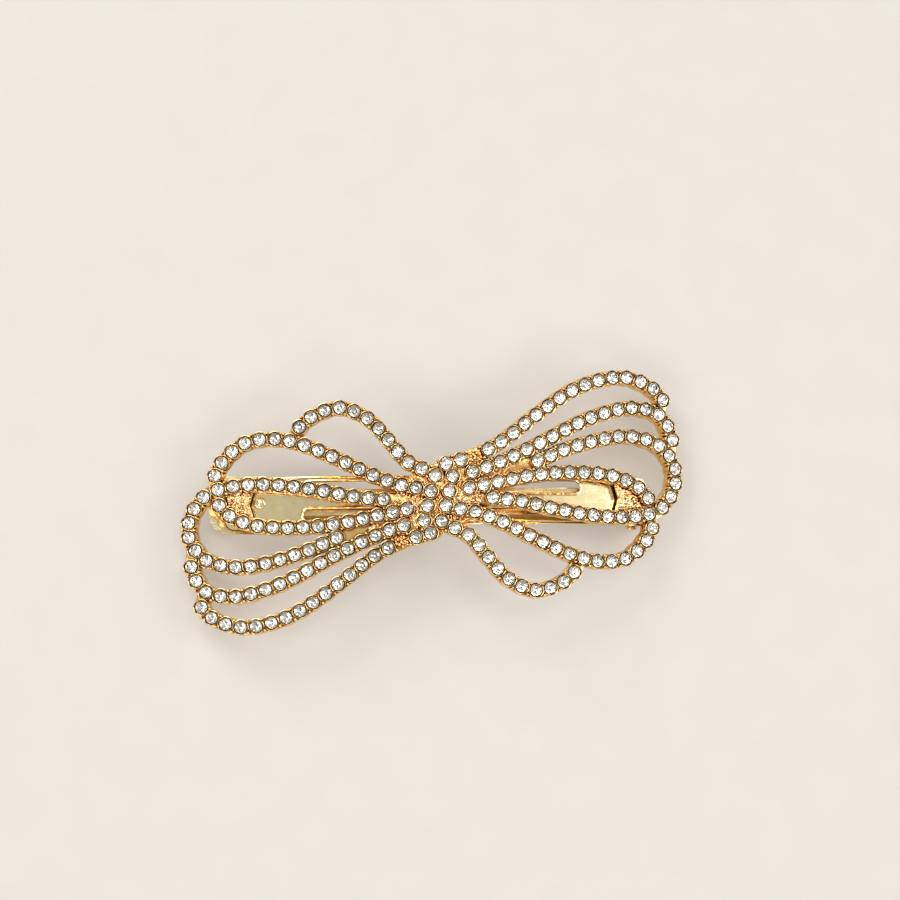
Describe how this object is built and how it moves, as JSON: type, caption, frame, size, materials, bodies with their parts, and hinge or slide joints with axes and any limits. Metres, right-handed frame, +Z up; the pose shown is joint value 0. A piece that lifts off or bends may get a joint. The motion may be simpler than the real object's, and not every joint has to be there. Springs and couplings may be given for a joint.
{
  "type": "rhinestone bow barrette",
  "caption": "Gold-tone open-work bow set with clear rhinestones on an arched spring barrette with a hinged clasp arm and a sprung latch.",
  "frame": {"origin": "under the middle of the bow, on the plane of the clasp arm's flat underside", "axes": "+X along the barrette from the latch to the hinge, +Z up through the bow's stones, +Y across the barrette"},
  "size_m": [0.0934, 0.0488, 0.0135],
  "materials": {
    "cast_gold": "gold-plated casting with a fine grain",
    "sheet_gold": "polished gold-plated steel sheet",
    "spring_gold": "gold-washed spring steel",
    "rhinestone": "faceted clear glass with a foil back",
    "solder": "dull solder"
  },
  "bodies": {
    "base": {"base_plate": "sheet_gold", "bow_frame": "cast_gold", "tension_strip": "spring_gold", "latch_bracket": "spring_gold", "latch_rivet": "sheet_gold", "hinge_pin": "sheet_gold", "solder_left": "solder", "solder_right": "solder", "solder_knot": "solder", "stones_knot": "rhinestone", "stones_outer_loop_right": "rhinestone", "stones_outer_loop_left": "rhinestone", "stones_second_loop_right": "rhinestone", "stones_second_loop_left": "rhinestone", "stones_third_loop_right": "rhinestone", "stones_third_loop_left": "rhinestone", "stones_leaf_upper_right": "rhinestone", "stones_leaf_upper_left": "rhinestone", "stones_leaf_lower_right": "rhinestone", "stones_leaf_lower_left": "rhinestone", "stones_lower_loop_right": "rhinestone", "stones_lower_loop_left": "rhinestone", "stones_small_loop_right": "rhinestone", "stones_small_loop_left": "rhinestone"},
    "arm": {"clasp_arm": "sheet_gold"},
    "prong_front": {"latch_prong_front": "spring_gold"},
    "prong_back": {"latch_prong_back": "spring_gold"}
  },
  "joints": [
    {"name": "arm_hinge", "type": "hinge", "parent": "base", "child": "arm", "pos_m": [0.0373, 0, 0.0014], "axis": [0, -1, 0], "range_deg": [0, 100]},
    {"name": "front_prong_squeeze", "type": "hinge", "parent": "base", "child": "prong_front", "pos_m": [-0.0344, -0.0022, 0.0024], "axis": [1, 0, 0], "range_deg": [0, 8], "stiffness_Nm_per_rad": 0.02},
    {"name": "back_prong_squeeze", "type": "hinge", "parent": "base", "child": "prong_back", "pos_m": [-0.0344, 0.0022, 0.0024], "axis": [-1, 0, 0], "range_deg": [0, 8], "stiffness_Nm_per_rad": 0.02}
  ]
}
